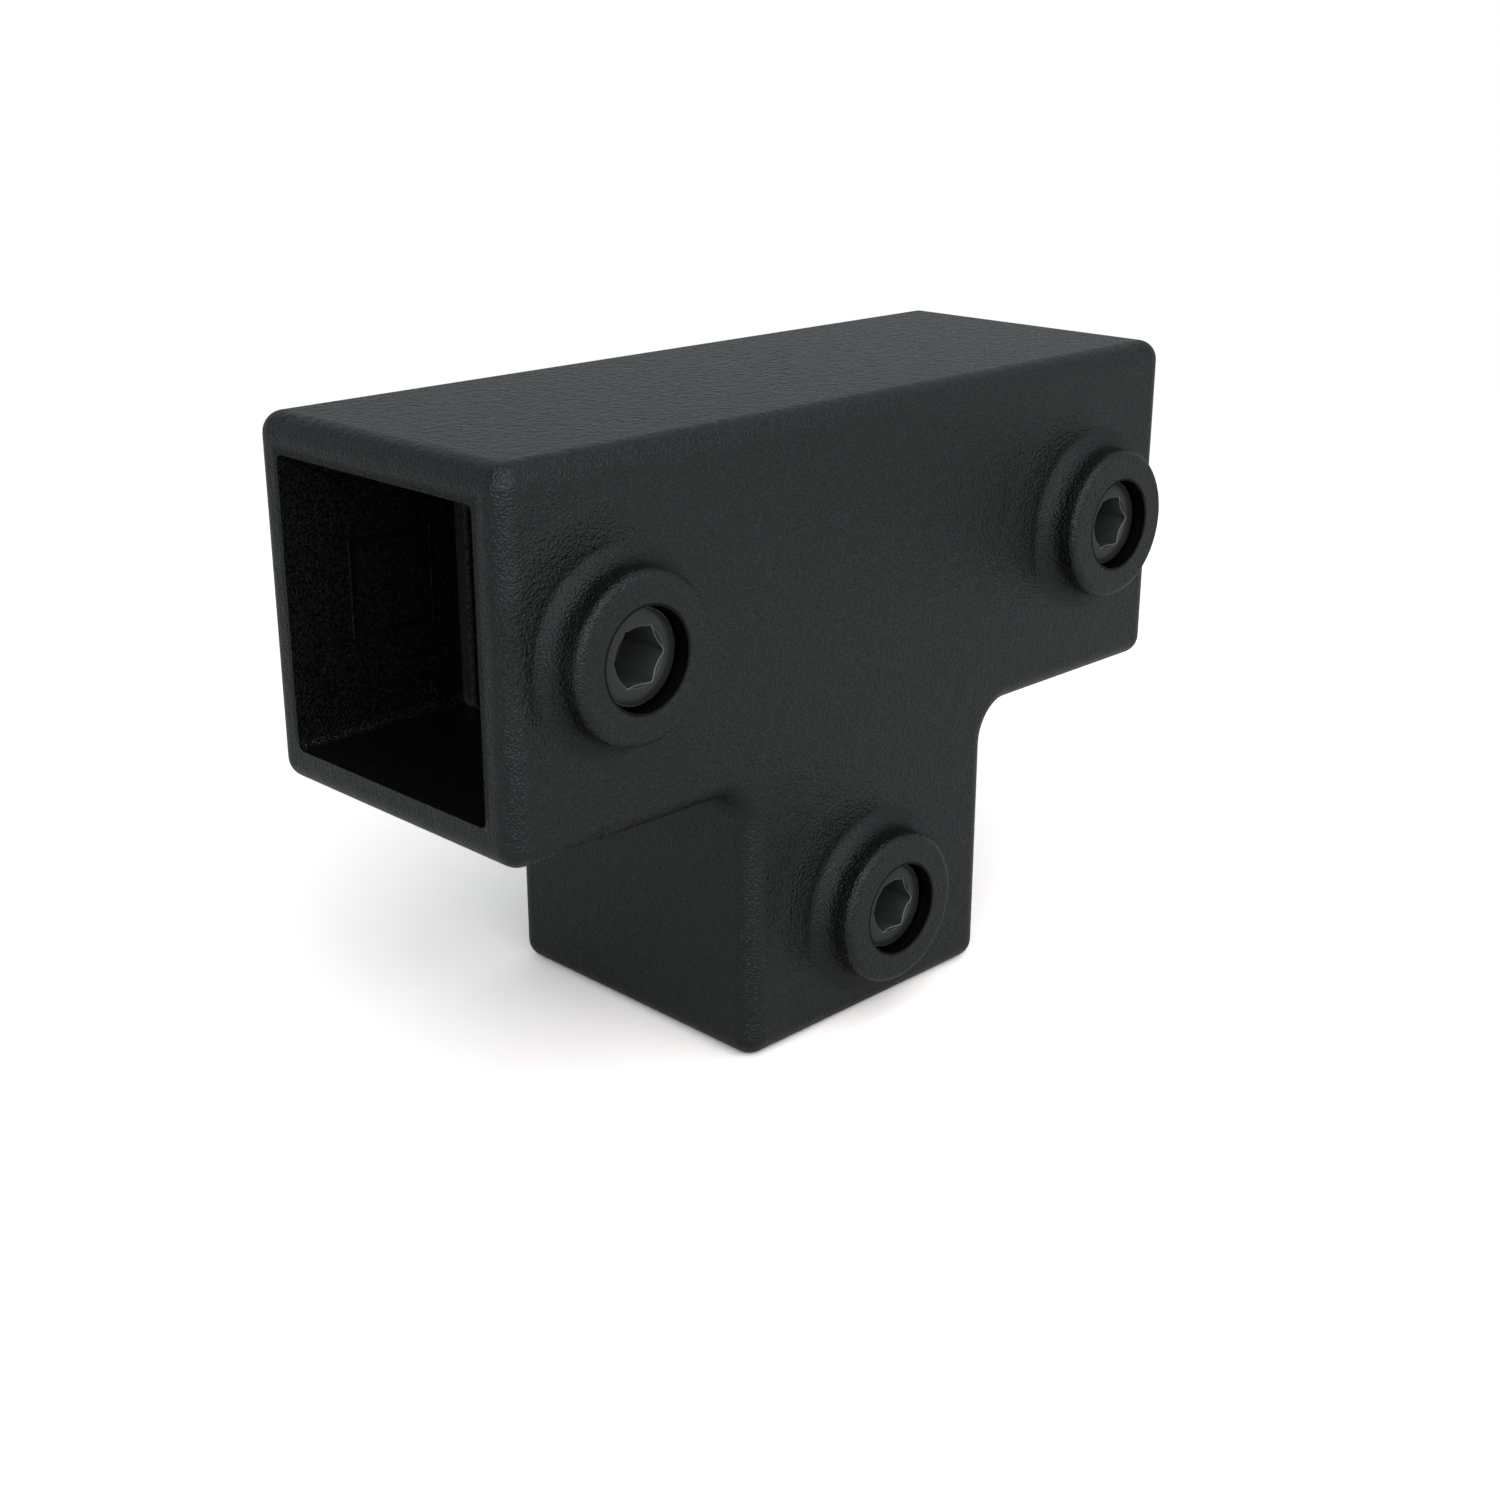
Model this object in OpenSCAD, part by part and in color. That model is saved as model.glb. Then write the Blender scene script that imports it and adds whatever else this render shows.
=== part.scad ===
// Cast tee that joins three square tubes, each held by one hex socket set screw.
// Millimetres. X runs along the through arm, the screw side faces -Y, Z is up,
// and the lower arm ends at Z = 0 with its middle at X = 0, Y = 0.

/* [Tube] */
// Outside width of the square tube that slides in
tube_w = 40; // [30:1:60]
// Total play between the tube and its socket
tube_play = 0.3; // [0.1:0.1:1.5]

/* [Casting] */
// Wall thickness of all three arms
wall = 5.05; // [3.5:0.05:8]
// Length of the through arm, end to end
run_len = 131; // [110:0.5:200]
// Length of the lower arm below the through arm
leg_len = 40.7; // [35:0.1:80]
// Rounding of all outer edges
edge_r = 3; // [1:0.1:3]
// Hollow rounding between the lower arm and the through arm
crotch_r = 5.5; // [3:0.5:10]

/* [Sockets] */
// How far a tube goes in before it meets the stop
socket_depth = 27.8; // [22:0.1:35]
// Corner rounding inside the sockets
socket_r = 1; // [0.4:0.1:4]
// How far the stop ribs stand in from the front and back walls
stop_h = 2.1; // [1:0.1:5]
// Thickness of the stop ribs along the tube
stop_t = 3; // [2:0.1:5]
// Rounding of the stop ribs' free edges
stop_r = 0.5; // [0.2:0.1:0.9]

/* [Bosses] */
// Distance from the ends of the through arm to its screws
boss_inset = 17.4; // [16.8:0.1:19]
// Distance from the end of the lower arm to its screw
leg_boss_inset = 17.7; // [16.8:0.1:21]
// Diameter of the round boss
boss_d = 22.4; // [19:0.1:24]
// How far the boss face stands off the arm
boss_h = 5.65; // [4.5:0.05:9]
// Rounding of the boss rim
boss_rim_r = 1.1; // [0.4:0.1:2]
// Hollow rounding at the foot of the boss
boss_foot_r = 3; // [1:0.1:3]
// Diameter of the screw bore
bore_d = 13.4; // [10:0.1:14.5]

/* [Set screws] */
// Gap all around between a screw and its bore
screw_gap = 0.05; // [0.02:0.01:0.1]
// Length of the screw
screw_len = 8.8; // [8.5:0.1:12]
// How far the screw face sits below the boss face
screw_recess = 1.7; // [0.5:0.1:3]
// Width of the crown around the flat of the screw face
crown_w = 1.5; // [0.5:0.1:1.8]
// How far the crown falls away at its rim
crown_drop = 0.45; // [0.1:0.05:0.6]
// Bevel from the rim of the crown to the thread
start_bevel = 0.55; // [0.3:0.05:0.7]
// Bevel around the screw tip
tip_bevel = 1; // [0.3:0.1:1.5]
// Hex socket size across flats
hex_af = 7.15; // [4:0.05:8]
// Depth of the hex socket
hex_depth = 6.8; // [3:0.1:7]
// How far the countersink at the mouth of the hex reaches beyond its flats
hex_sink = 0.35; // [0.2:0.05:0.5]
// Diameter of the cup in the screw tip
cup_d = 7; // [3:0.5:9]
// Depth of the cup in the screw tip
cup_depth = 1; // [0.5:0.1:1.2]

/* [Size mark frame] */
// Width and height of the sunk frame inside the left socket
mark_w = 14.3; // [8:0.1:20]
// Width of the frame groove
mark_line = 1.1; // [0.5:0.1:2]
// Depth of the frame groove
mark_depth = 0.5; // [0.2:0.1:1]
// Distance from the end of the arm to the middle of the frame
mark_inset = 16.9; // [14:0.1:20]

/* [Hidden] */
$fn = 64;
// One-sided overlap for clean cuts and joins
over = 1;
socket_w = tube_w + tube_play;
body_w = socket_w + 2 * wall;
half_w = body_w / 2;
half_run = run_len / 2;
under_z = leg_len;
axis_z = leg_len + half_w;
top_z = leg_len + body_w;
boss_r = boss_d / 2;
// The hollow at the foot of a boss ends before the rounded edges of the arm
foot_r = min(boss_foot_r, min(boss_inset, leg_boss_inset) - boss_r - edge_r);
face_y = -half_w - boss_h;
screw_r = bore_d / 2 - screw_gap;
hex_corner_r = hex_af / sqrt(3);
sink_r = hex_af / 2 + hex_sink;
// Radius where the countersink cone ends, just inside the flats of the hex
sink_end_r = hex_af / 2 - 0.1;
screw_y = face_y + screw_recess;
crown_rim_r = screw_r - start_bevel;
flat_r = crown_rim_r - crown_w;
// Radius of the arc that leaves the flat without a step and ends at the rim of the crown
crown_arc_r = (crown_w * crown_w + crown_drop * crown_drop) / (2 * crown_drop);
boss_x = half_run - boss_inset;
// Middle of each screw seen from the front: left, right and lower
screw_places = [[-boss_x, axis_z], [boss_x, axis_z], [0, leg_boss_inset]];

// Side view of the tee with rounded outer corners and hollow inner ones
module side_outline() {
    translate([-half_run, under_z + edge_r])
        square([run_len, body_w - 2 * edge_r]);
    translate([-half_run + edge_r, under_z])
        square([run_len - 2 * edge_r, body_w]);
    for (x = [-half_run + edge_r, half_run - edge_r])
        for (z = [under_z + edge_r, top_z - edge_r])
            translate([x, z])
                circle(r = edge_r);
    translate([-half_w, edge_r])
        square([body_w, axis_z - edge_r]);
    translate([-half_w + edge_r, 0])
        square([body_w - 2 * edge_r, axis_z]);
    for (x = [-half_w + edge_r, half_w - edge_r])
        translate([x, edge_r])
            circle(r = edge_r);
    crotch_patches(0);
}

// The same view drawn in by the edge rounding, for the flat front and back
module side_inset() {
    translate([-half_run + edge_r, under_z + edge_r])
        square([run_len - 2 * edge_r, body_w - 2 * edge_r]);
    translate([-half_w + edge_r, edge_r])
        square([body_w - 2 * edge_r, axis_z - edge_r]);
    crotch_patches(edge_r);
}

// Hollow corner patches between the two arms, drawn in by the given amount
module crotch_patches(inset) {
    both_sides([1, 0, 0])
        difference() {
            translate([half_w - inset - over, under_z - crotch_r])
                square([crotch_r + inset + over, crotch_r + inset + over]);
            translate([half_w + crotch_r, under_z - crotch_r])
                circle(r = crotch_r + inset);
        }
}

// Round bar along X between two points
module bar_x(x0, x1, y, z) {
    translate([x0, y, z])
        rotate([0, 90, 0])
            cylinder(r = edge_r, h = x1 - x0);
}

// Round bar along Z between two heights
module bar_z(x, y, z0, z1) {
    translate([x, y, z0])
        cylinder(r = edge_r, h = z1 - z0);
}

// Rounded edges of the front or the back
module rounded_edges(y) {
    bar_x(-half_run + edge_r, half_run - edge_r, y, top_z - edge_r);
    bar_x(-half_w + edge_r, half_w - edge_r, y, edge_r);
    both_sides([1, 0, 0]) {
        bar_z(half_run - edge_r, y, under_z + edge_r, top_z - edge_r);
        bar_z(half_w - edge_r, y, edge_r, under_z - crotch_r);
        bar_x(half_w + crotch_r, half_run - edge_r, y, under_z + edge_r);
        crotch_edge(y);
        for (z = [under_z + edge_r, top_z - edge_r])
            translate([half_run - edge_r, y, z])
                sphere(r = edge_r);
        translate([half_w - edge_r, y, edge_r])
            sphere(r = edge_r);
    }
}

// Rounded edge that follows the right hollow corner, a quarter ring
module crotch_edge(y) {
    translate([half_w + crotch_r, y, under_z - crotch_r])
        rotate([90, -90, 0])
            rotate_extrude(angle = 90)
                translate([crotch_r + edge_r, 0])
                    circle(r = edge_r);
}

// One boss with a rounded rim and a hollow foot, standing on the front face
module boss(place) {
    translate([place[0], -half_w, place[1]])
        rotate([90, 0, 0])
            rotate_extrude()
                union() {
                    translate([0, -over])
                        square([boss_r - boss_rim_r, boss_h + over]);
                    translate([0, -over])
                        square([boss_r, boss_h + over - boss_rim_r]);
                    translate([boss_r - boss_rim_r, boss_h - boss_rim_r])
                        circle(r = boss_rim_r);
                    difference() {
                        translate([0, -over])
                            square([boss_r + foot_r, foot_r + over]);
                        translate([boss_r + foot_r, foot_r])
                            circle(r = foot_r);
                    }
                }
}

// Square channel with rounded corners along Z, standing on Z = 0
module channel(length) {
    straight = socket_w - 2 * socket_r;
    linear_extrude(height = length)
        union() {
            square([socket_w, straight], center = true);
            square([straight, socket_w], center = true);
            for (x = [-straight / 2, straight / 2])
                for (y = [-straight / 2, straight / 2])
                    translate([x, y])
                        circle(r = socket_r);
        }
}

// The two channels that make the arms hollow
module hollows() {
    translate([-half_run - over, 0, axis_z])
        rotate([0, 90, 0])
            channel(run_len + 2 * over);
    translate([0, 0, -over])
        channel(axis_z + over);
}

// Stop rib along Z on a wall at Y = 0, with its stop face at X = 0
module stop_rib() {
    linear_extrude(height = socket_w + 2 * over, center = true)
        union() {
            translate([0, stop_r - stop_h])
                square([stop_t, stop_h - stop_r + over]);
            translate([stop_r, -stop_h])
                square([stop_t - 2 * stop_r, stop_h]);
            for (x = [stop_r, stop_t - stop_r])
                translate([x, stop_r - stop_h])
                    circle(r = stop_r);
        }
}

// A pair of stop ribs in each socket, on the front and the back wall
module stops() {
    both_sides([0, 1, 0]) {
        both_sides([1, 0, 0])
            translate([-half_run + socket_depth, socket_w / 2, axis_z])
                stop_rib();
        translate([0, socket_w / 2, socket_depth])
            rotate([0, -90, 0])
                stop_rib();
    }
}

// What follows it, here and mirrored across the middle
module both_sides(direction) {
    children();
    mirror(direction)
        children();
}

// Sunk square frame in the back wall of the left socket
module mark_frame() {
    inner_w = mark_w - 2 * mark_line;
    translate([-half_run + mark_inset, socket_w / 2 + mark_depth, axis_z])
        rotate([90, 0, 0])
            linear_extrude(height = mark_depth + over)
                difference() {
                    square([mark_w, mark_w], center = true);
                    square([inner_w, inner_w], center = true);
                }
}

// The tee and its bosses, still solid
module tee_block() {
    rotate([90, 0, 0])
        linear_extrude(height = body_w - 2 * edge_r, center = true)
            side_outline();
    rotate([90, 0, 0])
        linear_extrude(height = body_w, center = true)
            side_inset();
    rounded_edges(half_w - edge_r);
    rounded_edges(-half_w + edge_r);
    for (place = screw_places)
        boss(place);
}

module cast_body() {
    color([0.06, 0.06, 0.065])
        union() {
            difference() {
                tee_block();
                hollows();
                mark_frame();
                for (place = screw_places)
                    screw_bore(place);
            }
            stops();
        }
}

// Bore from the boss face into the socket
module screw_bore(place) {
    translate([place[0], face_y - over, place[1]])
        rotate([-90, 0, 0])
            cylinder(d = bore_d, h = over + boss_h + wall + socket_r);
}

// Half section of the set screw, with the corner outside the crown's arc cut away
module screw_section() {
    difference() {
        polygon([
            [0, 0],
            [crown_rim_r, 0],
            [crown_rim_r, crown_drop],
            [screw_r, crown_drop + start_bevel],
            [screw_r, screw_len - tip_bevel],
            [screw_r - tip_bevel, screw_len],
            [cup_d / 2, screw_len],
            [0, screw_len - cup_depth]
        ]);
        difference() {
            translate([flat_r, -over])
                square([crown_w + over, crown_drop + over]);
            translate([flat_r, crown_arc_r])
                circle(r = crown_arc_r);
        }
    }
}

// Set screw with its face at Z = 0 and its tip toward +Z
module screw_body() {
    difference() {
        rotate_extrude()
            screw_section();
        translate([0, 0, -over])
            cylinder(r = hex_corner_r, h = hex_depth + over, $fn = 6);
        translate([0, 0, -over])
            cylinder(r1 = sink_r + over, r2 = sink_end_r, h = sink_r + over - sink_end_r);
    }
}

module set_screw(place) {
    color([0.09, 0.09, 0.095])
        translate([place[0], screw_y, place[1]])
            rotate([-90, 0, 0])
                screw_body();
}

module set_screw_left() {
    set_screw(screw_places[0]);
}

module set_screw_right() {
    set_screw(screw_places[1]);
}

module set_screw_leg() {
    set_screw(screw_places[2]);
}

cast_body();
set_screw_left();
set_screw_right();
set_screw_leg();
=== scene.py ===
"""Looks of a cast square tube tee with three hex socket set screws. Metres, in the part's own frame."""

import math

import bmesh
import bpy
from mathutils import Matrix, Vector

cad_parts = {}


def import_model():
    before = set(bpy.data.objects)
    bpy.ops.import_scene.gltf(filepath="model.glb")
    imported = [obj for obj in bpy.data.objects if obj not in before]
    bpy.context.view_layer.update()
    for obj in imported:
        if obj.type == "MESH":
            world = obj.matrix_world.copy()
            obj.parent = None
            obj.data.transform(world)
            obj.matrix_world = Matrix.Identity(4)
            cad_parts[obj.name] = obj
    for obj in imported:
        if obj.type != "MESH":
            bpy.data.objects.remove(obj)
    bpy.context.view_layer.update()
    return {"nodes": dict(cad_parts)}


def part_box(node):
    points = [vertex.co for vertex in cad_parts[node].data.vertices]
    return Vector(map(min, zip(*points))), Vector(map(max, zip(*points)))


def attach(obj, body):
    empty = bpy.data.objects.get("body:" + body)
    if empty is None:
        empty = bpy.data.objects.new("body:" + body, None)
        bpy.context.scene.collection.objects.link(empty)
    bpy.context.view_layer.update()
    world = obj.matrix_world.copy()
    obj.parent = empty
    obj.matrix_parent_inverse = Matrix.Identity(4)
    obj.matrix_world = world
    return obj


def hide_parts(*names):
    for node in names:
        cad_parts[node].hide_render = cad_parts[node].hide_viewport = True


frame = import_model()
nodes = frame["nodes"]

MM = 0.001

# Camera: metres, degrees, and millimetres of lens and sensor, for a square picture
CAMERA_PLACE = (-0.20886, -0.20894, 0.1416)
CAMERA_TILT = 70.0
CAMERA_TURN = -45.0
CAMERA_LENS = 50.0
CAMERA_SENSOR = 36.0
CAMERA_NEAR = 0.01

# Softboxes: name, degrees from +X, degrees above the floor, and power in watts.
# All have one size and one distance in metres, and aim at the middle of the tee
SOFTBOXES = (
    ("camera_softbox", 225, 32, 2.95),
    ("front_softbox", 270, 32, 2.15),
    ("low_softbox", 247, 10, 2.15),
    ("high_softbox", 240, 60, 1.8),
    ("right_softbox", 292, 10, 1.05),
    ("left_softbox", 202, 10, 1.1),
    ("far_softbox", 325, 52, 0.9),
)
SOFTBOX_SIZE = 0.9
SOFTBOX_DISTANCE = 1.3
SOFTBOX_AIM = (0, 0, 0.05)

# Soft light from all around, and what the camera sees where nothing is
SKY_LEVEL = 0.36
SKY_TINT = (0.9, 0.97, 1.0, 1)
WHITE = (1, 1, 1, 1)

# Floor: its colour to the camera, bright so that it shows white where nothing shades it and tinted
# against the sky's blue, its colour to all other light, half its side in metres, and the distances
# in millimetres over which it fades to plain white
FLOOR_SEEN = (2.26, 2.15, 2.11, 1)
FLOOR_UNSEEN = (0.7, 0.7, 0.7, 1)
FLOOR_HALF = 3.0
FLOOR_FADE_START = 250.0
FLOOR_FADE_END = 600.0

# Coat, sizes and heights in millimetres: fine grain, orange peel and soft swell everywhere,
# pits in the sockets and beside the bosses, and mottle on the top
GRAIN_SIZE = 0.33
GRAIN_HEIGHT = 0.23
PEEL_SIZE = 1.0
PEEL_HEIGHT = 0.08
SWELL_SIZE = 2.6
SWELL_HEIGHT = 0.14
PIT_SIZE = 0.46
PIT_HEIGHT = 0.5
PIT_STOPS = ((0.53, 0.0), (0.75, 1.0))
BOSS_PIT_HEIGHT = 0.6
BORE_SMOOTHING = 0.4
MOTTLE_SIZE = 1.2
MOTTLE_HEIGHT = 0.85

# Coat, colours and roughness: between the grains and on them, painted light on the faces of the stops,
# a painted highlight on the upright sides of the sunk frame, and painted shade in the bores and sockets: a
# darker tone and a near-black sheet mixed in
COAT_LOW = (0.001, 0.0011, 0.0012, 1)
COAT_HIGH = (0.0075, 0.0083, 0.0088, 1)
TONE_STOPS = ((0.35, 0.0), (0.65, 1.0))
# Painted shade: how much darker the coat's tone is made inside the sockets and around the bores
SOCKET_PAINTED_SHADE = 0.95
BORE_PAINTED_SHADE = 0.9
COAT_GLOSS_TINT = (0.91, 0.97, 0.985, 1)
# Painted light on the stop faces: their lighter colour, and how evenly it covers them
STOP_PAINTED_LIGHT = (0.038, 0.041, 0.042, 1)
STOP_PAINTED_LIGHT_EVENNESS = 0.4
# Painted highlight: colour of the upright sides of the sunk frame
MARK_PAINTED_HIGHLIGHT = (0.045, 0.048, 0.05, 1)
# Painted shade: colour of the near-black sheet mixed in over the bores and sockets
SHADE_SHEET_COLOUR = (0.001, 0.001, 0.001, 1)
COAT_ROUGHNESS = 0.25
FOOT_ROUGHNESS = 0.25
STOP_ROUGHNESS = 0.35
# Painted shade: how much of the near-black sheet covers the bores and the sockets
BORE_SHADE_SHEET = 0.6
SOCKET_SHADE_SHEET = 0.3

# Places on the casting, in millimetres. Two numbers say where a share is full and where it has gone.
# Four numbers say where it starts, where it is full from and to, and where it ends
AXIS_HEIGHT = 65.9
TOP = (90.8, 89.6)
SOCKET_WALLS = (20.6, 21.4)
RUN_SOCKETS = (48.0, 46.0)
LEG_SOCKET = (44.0, 48.0)
STOP_FACES = (37.0, 37.15, 37.75, 37.9)
STOP_REACH = (20.0, 20.6)
MARK_PLACE = (-48.6, 65.9)
MARK_SIDES = (6.4, 6.55, 6.75, 6.9)
MARK_RISE = (6.75, 7.15)
MARK_WALL = (19.5, 20.0, 21.5, 22.0)

# Bosses: their middles as X and Z, and rings around them. The coarse patch beside each boss
# lies up and to its left, within a spread given as cosines
BOSSES = ((-48.1, 65.9), (48.1, 65.9), (0.0, 17.7))
BOSS_FRONT = (-24.5, -22.0)
BORE = (6.9, 7.2)
FOOT_RING = (11.2, 11.5, 13.6, 14.4)
PATCH_RING = (13.0, 14.5, 16.5, 21.0)
PATCH_WAY = (-0.77, 0.64)
PATCH_SPREAD = (0.85, 0.35)

# Set screw, in millimetres: radii from its middle and depths from its face
SCREW_ANGLES = 120
SCREW_LENGTH = 8.8
SCREW_FLAT_R = 4.5
CROWN_RIM_R = 6.1
CROWN_DROP = 0.2
CROWN_STEPS = 5
RIM_EDGE = 0.1
THREAD_R = 6.64
THREAD_HEIGHT = 0.8
THREAD_PITCH = 1.5
THREAD_STEP = 0.125
THREAD_START = 0.3
THREAD_FADE = 0.8
TIP_BEVEL = 1.0
TIP_EDGE = 0.05
CUP_R = 3.5
CUP_DEPTH = 1.0
CUP_LIP = 0.08
CUP_LIP_DROP = 0.06
CUP_FLOOR_R = 0.6
CUP_FLOOR_SHARE = 0.85
HEX_FLATS = 7.15
HEX_DEPTH = 7.3
HEX_POINT = 0.3
HEX_WALL_SHARES = (0.0, 0.35, 0.7)
HEX_SINK = 0.35
HEX_EDGE = 0.07
MOUTH_EDGE = 0.025
WELD = 0.004

# Shares of the thread's half pitch that are flat at its crest and at its root
THREAD_FLAT = 0.15

# Edges that turn by more degrees than this are sharp
SHARP_TURN = 32

# Grey and roughness of the screws' blackened steels: the face, the countersink with its grey lowered as
# painted shade, and the hex socket's walls with their grey raised as painted light. Then the clouds in them:
# size in millimetres, tints from dark to light, and how much rougher the light is
FACE_STEEL = (0.022, 0.24)
CONE_STEEL_PAINTED_SHADE = (0.018, 0.5)
WALL_STEEL_PAINTED_LIGHT = (0.042, 0.3)
CLOUD_SIZE = 1.5
CLOUD_DARK = (0.92, 1.0, 1.04)
CLOUD_LIGHT = (1.06, 1.14, 1.18)
CLOUD_ROUGHNESS = 0.06

# Painted highlight on the screws' sharp edges: a lighter grey with clouds in it, its roughness and its
# specular level
EDGE_HIGHLIGHT_CLOUD_SIZE = 0.8
EDGE_HIGHLIGHT_DARK = (0.15, 0.155, 0.16, 1)
EDGE_HIGHLIGHT_LIGHT = (0.24, 0.245, 0.25, 1)
EDGE_HIGHLIGHT_ROUGHNESS = 0.5
EDGE_HIGHLIGHT_SPECULAR = 0.3

# Order of the steels on a screw
FACE, EDGE_HIGHLIGHT, CONE, WALL = range(4)


class Value:
    """A node's output whose arithmetic adds Math nodes."""

    def __init__(self, finish, socket):
        self.finish = finish
        self.socket = socket

    def math(self, operation, first, second=0.0):
        return self.finish.node("ShaderNodeMath", {"operation": operation}, {0: first, 1: second})

    def __add__(self, other):
        return self.math("ADD", self, other)

    def __sub__(self, other):
        return self.math("SUBTRACT", self, other)

    def __rsub__(self, other):
        return self.math("SUBTRACT", other, self)

    def __mul__(self, other):
        return self.math("MULTIPLY", self, other)

    def __truediv__(self, other):
        return self.math("DIVIDE", self, other)

    def largest(self, other):
        return self.math("MAXIMUM", self, other)

    def size(self):
        return self.math("ABSOLUTE", self)

    def root(self):
        return self.math("SQRT", self)

    __radd__ = __add__
    __rmul__ = __mul__


class Finish:
    """A material and the one method that adds its nodes."""

    def __init__(self, name):
        self.material = bpy.data.materials.new(name)
        self.material.use_nodes = True
        self.tree = self.material.node_tree
        self.tree.nodes.clear()

    def node(self, kind, settings=None, inputs=None, output=0):
        made = self.tree.nodes.new(kind)
        for key, value in (settings or {}).items():
            if key == "stops":
                self.set_stops(made.color_ramp, value)
            else:
                setattr(made, key, value)
        for key, value in (inputs or {}).items():
            if isinstance(value, Value):
                self.tree.links.new(value.socket, made.inputs[key])
            else:
                made.inputs[key].default_value = value
        return Value(self, made.outputs[output]) if made.outputs else made

    @staticmethod
    def set_stops(ramp, stops):
        while len(ramp.elements) < len(stops):
            ramp.elements.new(1.0)
        for element, (place, grey) in zip(ramp.elements, stops):
            element.position = place
            element.color = (grey, grey, grey, 1.0)

    def millimetres(self):
        place = self.node("ShaderNodeTexCoord", output="Object")
        return self.node("ShaderNodeVectorMath", {"operation": "SCALE"}, {0: place, "Scale": 1 / MM})

    def noise(self, place, size, detail=2.0, roughness=0.5, distortion=0.0):
        inputs = {"Vector": place, "Scale": 1 / size, "Detail": detail, "Roughness": roughness}
        inputs["Distortion"] = distortion
        return self.node("ShaderNodeTexNoise", {}, inputs)

    def near(self, value, edges):
        """1 where value has reached the first edge, falling smoothly to 0 at the second."""
        full, none = edges
        inputs = {"Value": value, "From Min": none, "From Max": full}
        return self.node("ShaderNodeMapRange", {"interpolation_type": "SMOOTHSTEP"}, inputs)

    def between(self, value, edges):
        """1 between the middle two of four rising edges, falling smoothly to 0 at the outer two."""
        start, full_from, full_to, end = edges
        return self.near(value, (full_from, start)) * self.near(value, (full_to, end))

    def ramp(self, value, stops):
        return self.node("ShaderNodeValToRGB", {"stops": stops}, {"Fac": value})

    def bump(self, height_mm):
        """Normal of a surface with the given height in millimetres."""
        return self.node("ShaderNodeBump", {}, {"Height": height_mm, "Distance": MM, "Strength": 1.0})

    def mix_colour(self, share, first, second):
        inputs = {"Factor": share, 6: first, 7: second}
        return self.node("ShaderNodeMix", {"data_type": "RGBA"}, inputs, 2)

    def surface(self, shader):
        self.node("ShaderNodeOutputMaterial", {}, {"Surface": shader})
        return self.material


def socket_share(f, x, y, z):
    """1 on the walls inside the three sockets, 0 on the outside."""
    across = (z - AXIS_HEIGHT).size().largest(y.size())
    run = f.near(across, SOCKET_WALLS) * f.near(z, RUN_SOCKETS)
    leg = f.near(x.size().largest(y.size()), SOCKET_WALLS) * f.near(z, LEG_SOCKET)
    return run.largest(leg)


def stop_share(f, x, y, z):
    """1 on the faces of the two stops that a tube comes to rest on, 0 elsewhere. There the coat is painted
    lighter as painted light, and is rougher.
    """
    across = (z - AXIS_HEIGHT).size().largest(y.size())
    return f.between(x.size(), STOP_FACES) * f.near(across, STOP_REACH)


def frame_highlight_share(f, x, y, z):
    """1 on the upright sides of the sunk frame on the back wall of the left socket, where a highlight is
    painted.
    """
    right, up = (x - MARK_PLACE[0]).size(), (z - MARK_PLACE[1]).size()
    return f.between(right, MARK_SIDES) * f.near(up, MARK_RISE) * f.between(y, MARK_WALL)


def boss_shares(f, x, y, z):
    """Three shares: the coarse patch up and to the left of each boss, its foot, and the walls of its bore."""
    patch, foot, bore = 0.0, 0.0, 0.0
    for boss_x, boss_z in BOSSES:
        right, up = x - boss_x, z - boss_z
        away = (right * right + up * up).root()
        toward = (right * PATCH_WAY[0] + up * PATCH_WAY[1]) / away
        patch = f.between(away, PATCH_RING) * f.near(toward, PATCH_SPREAD) + patch
        foot = f.between(away, FOOT_RING) + foot
        bore = f.near(away, BORE) + bore
    front = f.near(y, BOSS_FRONT)
    return patch * front, foot * front, bore * front


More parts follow.
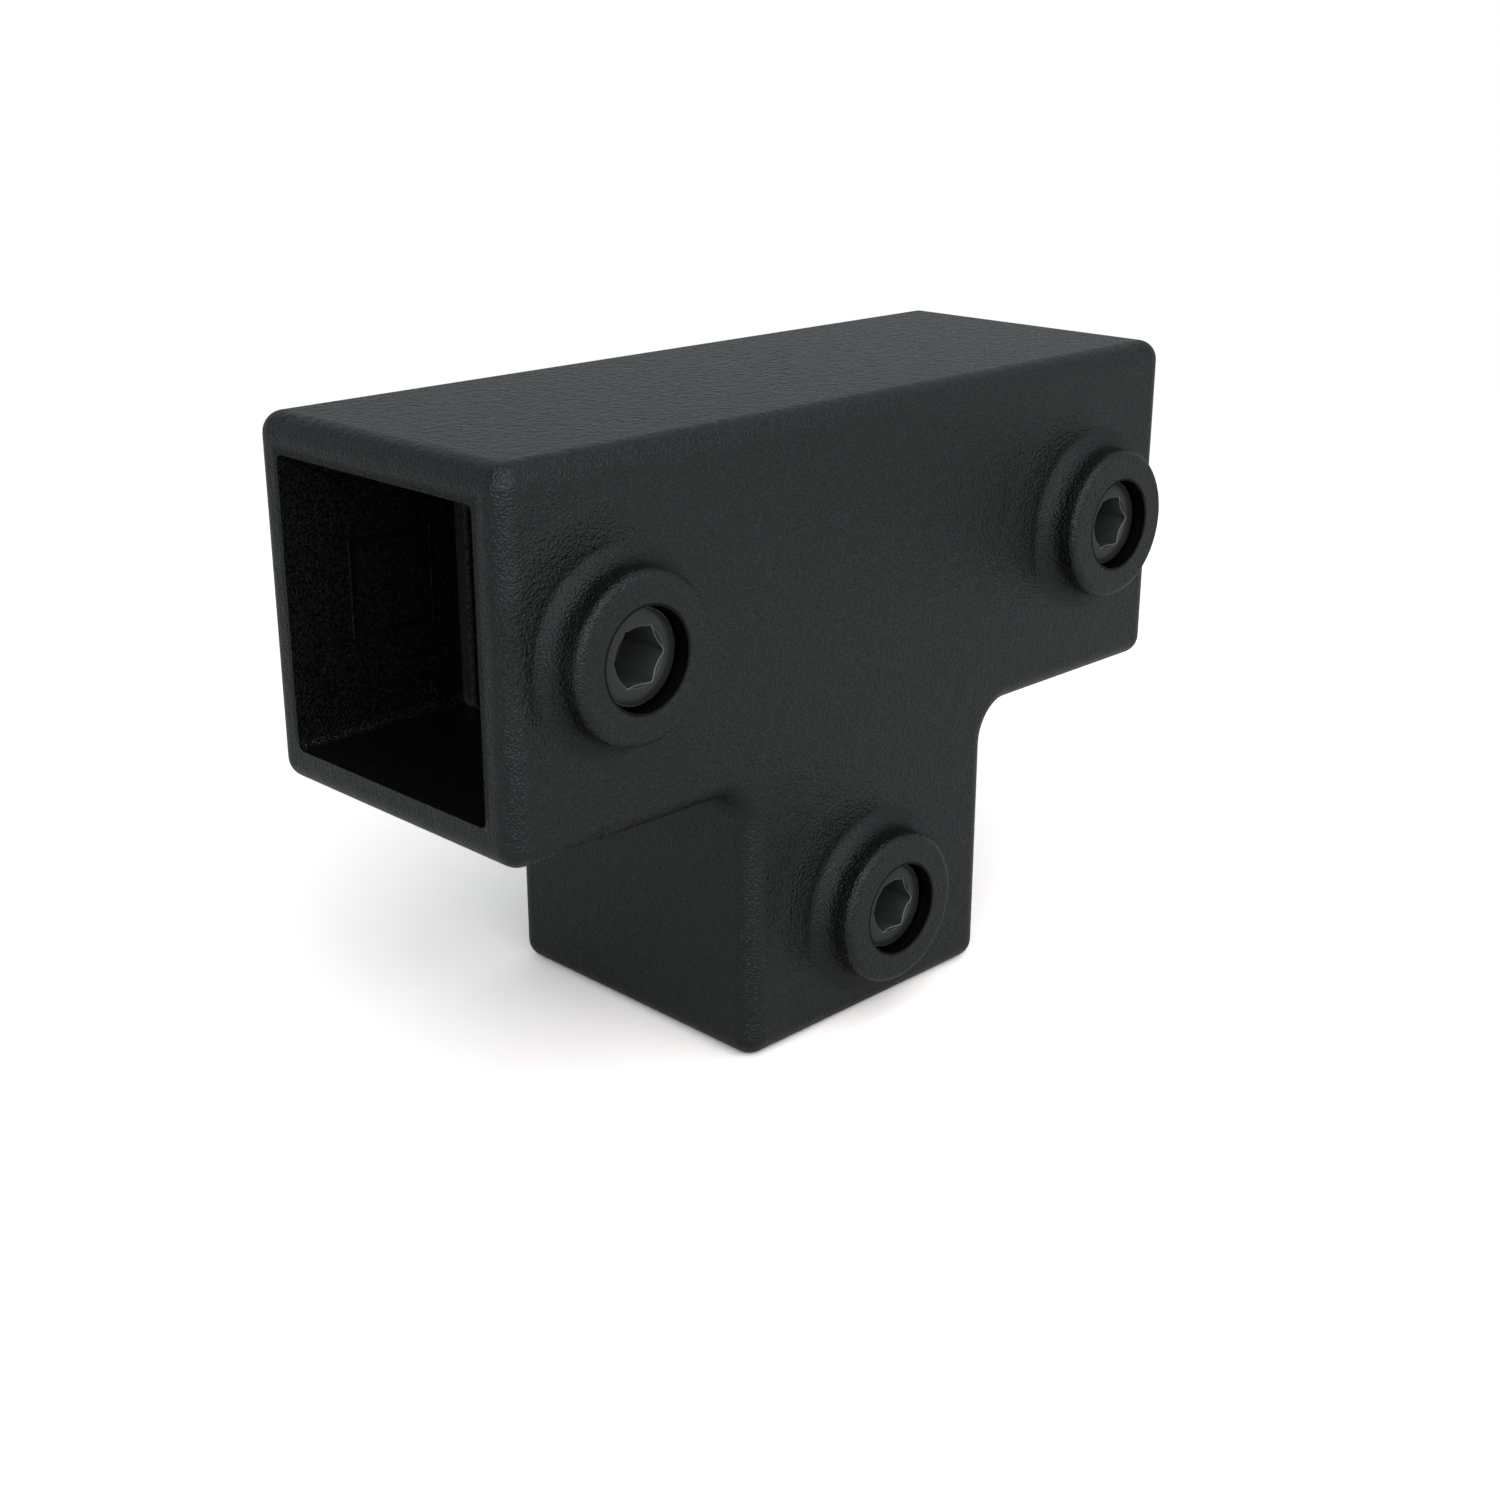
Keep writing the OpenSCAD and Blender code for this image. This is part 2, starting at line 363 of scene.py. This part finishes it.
def cast_coat():
    """Black coat over sand-cast iron: fine grain on orange peel, coarse in the sockets and by the bosses."""
    f = Finish("black_coated_iron")
    place = f.millimetres()
    x, y, z = (f.node("ShaderNodeSeparateXYZ", {}, {0: place}, axis) for axis in range(3))
    grain = f.noise(place, GRAIN_SIZE, detail=1.0)
    peel = f.noise(place, PEEL_SIZE, detail=1.0, distortion=0.3)
    swell = f.noise(place, SWELL_SIZE, detail=0.0)
    pits = f.noise(place, PIT_SIZE, detail=3.0, roughness=0.6, distortion=0.2)
    lumps = f.ramp(pits, PIT_STOPS)
    mottle = f.noise(place, MOTTLE_SIZE, detail=3.0, roughness=0.6, distortion=0.3)
    inside = socket_share(f, x, y, z)
    stop = stop_share(f, x, y, z)
    frame_highlight = frame_highlight_share(f, x, y, z)
    patch, foot, bore = boss_shares(f, x, y, z)
    height = grain * GRAIN_HEIGHT + peel * PEEL_HEIGHT + swell * SWELL_HEIGHT
    height = height + mottle * f.near(z, TOP) * MOTTLE_HEIGHT
    height = height * (1 - BORE_SMOOTHING * bore)
    height = height + lumps * inside * PIT_HEIGHT + pits * patch * BOSS_PIT_HEIGHT
    # Painted shade: the coat's tone is made darker inside the sockets and around the bores
    tone = f.ramp(grain, TONE_STOPS) * (1 - SOCKET_PAINTED_SHADE * inside) * (1 - BORE_PAINTED_SHADE * bore)
    colour = f.mix_colour(tone, COAT_LOW, COAT_HIGH)
    # Painted light: the faces of the stops are made lighter
    colour = f.mix_colour(stop * (STOP_PAINTED_LIGHT_EVENNESS + grain), colour, STOP_PAINTED_LIGHT)
    # Painted highlight: the upright sides of the sunk frame are made lighter
    colour = f.mix_colour(frame_highlight * grain, colour, MARK_PAINTED_HIGHLIGHT)
    coat = f.node("ShaderNodeBsdfPrincipled", {}, {
        "Base Color": colour,
        "Roughness": COAT_ROUGHNESS + FOOT_ROUGHNESS * foot + STOP_ROUGHNESS * stop,
        "Specular IOR Level": 0.5,
        "Specular Tint": COAT_GLOSS_TINT,
        "Normal": f.bump(height),
    })
    # Painted shade: a near-black diffuse mixed in over the bores and sockets
    shade_sheet = f.node("ShaderNodeBsdfDiffuse", {}, {"Color": SHADE_SHEET_COLOUR})
    share = BORE_SHADE_SHEET * bore + SOCKET_SHADE_SHEET * inside
    return f.surface(f.node("ShaderNodeMixShader", {}, {0: share, 1: coat, 2: shade_sheet}))


def blackened_steel(name, grey, roughness):
    """Smooth satin black oxide of the set screws."""
    f = Finish(name)
    cloud = f.noise(f.millimetres(), CLOUD_SIZE, detail=3.0)
    dark, light = ((*(grey * tint for tint in tints), 1) for tints in (CLOUD_DARK, CLOUD_LIGHT))
    return f.surface(f.node("ShaderNodeBsdfPrincipled", {}, {
        "Base Color": f.mix_colour(cloud, dark, light),
        "Roughness": roughness + CLOUD_ROUGHNESS * cloud,
        "Specular IOR Level": 0.5,
    }))


def painted_edge_highlight():
    """Painted highlight: a lighter grey on the screws' sharp edges, in place of the light that they catch."""
    f = Finish("screw_edge_painted_highlight")
    cloud = f.noise(f.millimetres(), EDGE_HIGHLIGHT_CLOUD_SIZE)
    return f.surface(f.node("ShaderNodeBsdfPrincipled", {}, {
        "Base Color": f.mix_colour(cloud, EDGE_HIGHLIGHT_DARK, EDGE_HIGHLIGHT_LIGHT),
        "Roughness": EDGE_HIGHLIGHT_ROUGHNESS,
        "Specular IOR Level": EDGE_HIGHLIGHT_SPECULAR,
    }))


def hex_radius(angle):
    """Radius of the hex socket's wall, with its corners along X and every 60 degrees on."""
    from_flat = (math.degrees(angle) % 60) - 30
    return HEX_FLATS / 2 / math.cos(math.radians(from_flat))


def within_one(value):
    return min(max(value, 0.0), 1.0)


def thread_radius(angle, depth):
    """Radius of the threaded side, which starts at the crown's rim and ends at the tip's bevel."""
    turn = (depth / THREAD_PITCH - angle / (2 * math.pi)) % 1.0
    crest = within_one((abs(2 * turn - 1) - THREAD_FLAT) / (1 - 2 * THREAD_FLAT))
    start = CROWN_RIM_R + depth - CROWN_DROP
    end = THREAD_R - TIP_BEVEL + SCREW_LENGTH - depth
    fade = within_one((depth - CROWN_DROP - THREAD_START) / THREAD_FADE)
    return min(start, end, THREAD_R) - THREAD_HEIGHT * (1 - crest) * fade


def screw_rings():
    """Closed outline of the screw from the bottom of the hex, over the face and thread, to the cup.

    Each ring comes as its radius and depth at an angle, and the material of the band that follows it."""
    sink_r = HEX_FLATS / 2 + HEX_SINK

    def cone_depth(angle):
        return max(sink_r - hex_radius(angle), 0.0)

    def wall(angle, share):
        top = cone_depth(angle) + HEX_EDGE
        return hex_radius(angle), HEX_DEPTH + (top - HEX_DEPTH) * share

    def cone_foot(angle):
        return hex_radius(angle) + HEX_EDGE, max(cone_depth(angle) - HEX_EDGE, 0.0)

    def mouth_radius(angle):
        return max(sink_r, hex_radius(angle) + HEX_EDGE)

    # The narrow bands at the top of the hex wall, at the mouth and at the crown's rim get the painted edge
    # highlight
    for share in HEX_WALL_SHARES:
        yield lambda angle, share=share: wall(angle, share), WALL
    yield lambda angle: wall(angle, 1.0), EDGE_HIGHLIGHT
    yield cone_foot, CONE
    yield lambda angle: (mouth_radius(angle), 0.0), EDGE_HIGHLIGHT
    yield lambda angle: (mouth_radius(angle) + MOUTH_EDGE, 0.0), FACE
    crown_w = CROWN_RIM_R - SCREW_FLAT_R
    crown_r = (crown_w ** 2 + CROWN_DROP ** 2) / (2 * CROWN_DROP)
    for step in range(CROWN_STEPS + 1):
        out = crown_w * step / CROWN_STEPS
        drop = crown_r - math.sqrt(crown_r ** 2 - out ** 2)
        band = EDGE_HIGHLIGHT if step == CROWN_STEPS else FACE
        yield lambda angle, out=out, drop=drop: (SCREW_FLAT_R + out, drop), band
    depth = CROWN_DROP + RIM_EDGE
    while depth < SCREW_LENGTH - TIP_EDGE:
        yield lambda angle, depth=depth: (thread_radius(angle, depth), depth), FACE
        depth += THREAD_STEP
    yield lambda angle: (THREAD_R - TIP_BEVEL - TIP_EDGE, SCREW_LENGTH), FACE
    yield lambda angle: (CUP_R + CUP_LIP, SCREW_LENGTH), FACE
    yield lambda angle: (CUP_R - CUP_LIP, SCREW_LENGTH - CUP_LIP_DROP), FACE
    yield lambda angle: (CUP_FLOOR_R, SCREW_LENGTH - CUP_DEPTH * CUP_FLOOR_SHARE), FACE


def set_screw(name, node_name, body, materials):
    """Threaded set screw with a deep hex socket, in the place of its CAD stand-in."""
    low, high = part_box(node_name)
    middle_x, middle_z = (low[0] + high[0]) / 2, (low[2] + high[2]) / 2
    made = bmesh.new()
    rings, bands = [], []
    for ring, band in screw_rings():
        points = []
        for step in range(SCREW_ANGLES):
            angle = 2 * math.pi * step / SCREW_ANGLES
            radius, depth = ring(angle)
            points.append(made.verts.new((middle_x + radius * math.cos(angle) * MM,
                                          low[1] + depth * MM,
                                          middle_z + radius * math.sin(angle) * MM)))
        rings.append(points)
        bands.append(band)
    for inner, outer, band in zip(rings, rings[1:], bands):
        for step in range(SCREW_ANGLES):
            after = (step + 1) % SCREW_ANGLES
            face = made.faces.new((inner[step], outer[step], outer[after], inner[after]))
            face.material_index = band
    ends = ((rings[0], HEX_DEPTH + HEX_POINT, False, WALL),
            (rings[-1], SCREW_LENGTH - CUP_DEPTH, True, FACE))
    for ring, depth, turned, band in ends:
        middle = made.verts.new((middle_x, low[1] + depth * MM, middle_z))
        for step in range(SCREW_ANGLES):
            corners = [middle, ring[step], ring[(step + 1) % SCREW_ANGLES]]
            made.faces.new(corners[::-1] if turned else corners).material_index = band
    bmesh.ops.remove_doubles(made, verts=made.verts, dist=WELD * MM)
    bmesh.ops.recalc_face_normals(made, faces=made.faces)
    for face in made.faces:
        face.smooth = True
    for edge in made.edges:
        edge.smooth = len(edge.link_faces) == 2 and edge.calc_face_angle(0.0) < math.radians(SHARP_TURN)
    mesh = bpy.data.meshes.new(name)
    made.to_mesh(mesh)
    made.free()
    for material in materials:
        mesh.materials.append(material)
    piece = bpy.data.objects.new(name, mesh)
    bpy.context.scene.collection.objects.link(piece)
    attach(piece, body)
    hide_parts(node_name)


def dress(node_name, material):
    slots = nodes[node_name].material_slots
    for index in range(len(slots)):
        slots[index].material = material


def floor():
    """Pale floor that shows white to the camera where nothing shades it, and far from the tee."""
    f = Finish("pale_floor")
    to_camera = f.node("ShaderNodeLightPath", output="Is Camera Ray")
    near = f.node("ShaderNodeBsdfDiffuse", {}, {"Color": FLOOR_SEEN})
    far = f.node("ShaderNodeEmission", {}, {"Color": WHITE, "Strength": 1.0})
    away = f.node("ShaderNodeVectorMath", {"operation": "LENGTH"}, {0: f.millimetres()}, "Value")
    fade = f.near(away, (FLOOR_FADE_END, FLOOR_FADE_START))
    seen = f.node("ShaderNodeMixShader", {}, {0: fade, 1: near, 2: far})
    unseen = f.node("ShaderNodeBsdfDiffuse", {}, {"Color": FLOOR_UNSEEN})
    shader = f.node("ShaderNodeMixShader", {}, {0: to_camera, 1: unseen, 2: seen})
    mesh = bpy.data.meshes.new("floor")
    corners = [(x * FLOOR_HALF, y * FLOOR_HALF, 0) for x, y in ((-1, -1), (1, -1), (1, 1), (-1, 1))]
    mesh.from_pydata(corners, [], [(0, 1, 2, 3)])
    mesh.materials.append(f.surface(shader))
    piece = bpy.data.objects.new("floor", mesh)
    bpy.context.scene.collection.objects.link(piece)


def world():
    """White to the camera, soft light to everything else."""
    made = bpy.data.worlds.new("studio")
    bpy.context.scene.world = made
    made.use_nodes = True
    tree = made.node_tree
    tree.nodes.clear()
    path = tree.nodes.new("ShaderNodeLightPath")
    light = tree.nodes.new("ShaderNodeBackground")
    light.inputs["Color"].default_value = SKY_TINT
    light.inputs["Strength"].default_value = SKY_LEVEL
    shown = tree.nodes.new("ShaderNodeBackground")
    shown.inputs["Color"].default_value = WHITE
    mix = tree.nodes.new("ShaderNodeMixShader")
    out = tree.nodes.new("ShaderNodeOutputWorld")
    tree.links.new(path.outputs["Is Camera Ray"], mix.inputs[0])
    tree.links.new(light.outputs[0], mix.inputs[1])
    tree.links.new(shown.outputs[0], mix.inputs[2])
    tree.links.new(mix.outputs[0], out.inputs["Surface"])


def softbox(name, turn, height, power):
    """Round softbox aimed at the tee."""
    lamp = bpy.data.lights.new(name, "AREA")
    lamp.shape = "DISK"
    lamp.size = SOFTBOX_SIZE
    lamp.energy = power
    turn, height = math.radians(turn), math.radians(height)
    way = Vector((math.cos(turn) * math.cos(height), math.sin(turn) * math.cos(height), math.sin(height)))
    piece = bpy.data.objects.new(name, lamp)
    piece.location = Vector(SOFTBOX_AIM) + way * SOFTBOX_DISTANCE
    piece.rotation_euler = (-way).to_track_quat("-Z", "Y").to_euler()
    bpy.context.scene.collection.objects.link(piece)


def camera():
    lens = bpy.data.cameras.new("camera")
    lens.lens = CAMERA_LENS
    lens.sensor_width = CAMERA_SENSOR
    lens.clip_start = CAMERA_NEAR
    piece = bpy.data.objects.new("camera", lens)
    piece.location = CAMERA_PLACE
    piece.rotation_euler = (math.radians(CAMERA_TILT), 0.0, math.radians(CAMERA_TURN))
    bpy.context.scene.collection.objects.link(piece)
    bpy.context.scene.camera = piece


camera()
world()
floor()
for lamp_name, turn, height, power in SOFTBOXES:
    softbox(lamp_name, turn, height, power)
dress("cast_body", cast_coat())
# Steels of a screw: its face, a painted highlight on its sharp edges, its countersink darker as painted
# shade, and its hex walls lighter as painted light
steels = [blackened_steel("blackened_steel", *FACE_STEEL), painted_edge_highlight(),
          blackened_steel("countersink_steel_painted_shade", *CONE_STEEL_PAINTED_SHADE), blackened_steel("hex_socket_steel_painted_light", *WALL_STEEL_PAINTED_LIGHT)]
for side in ("left", "right", "leg"):
    dress("set_screw_" + side, steels[FACE])
    set_screw(side + "_threaded_screw", "set_screw_" + side, side + "_screw", steels)

bpy.context.scene.view_settings.view_transform = "Standard"
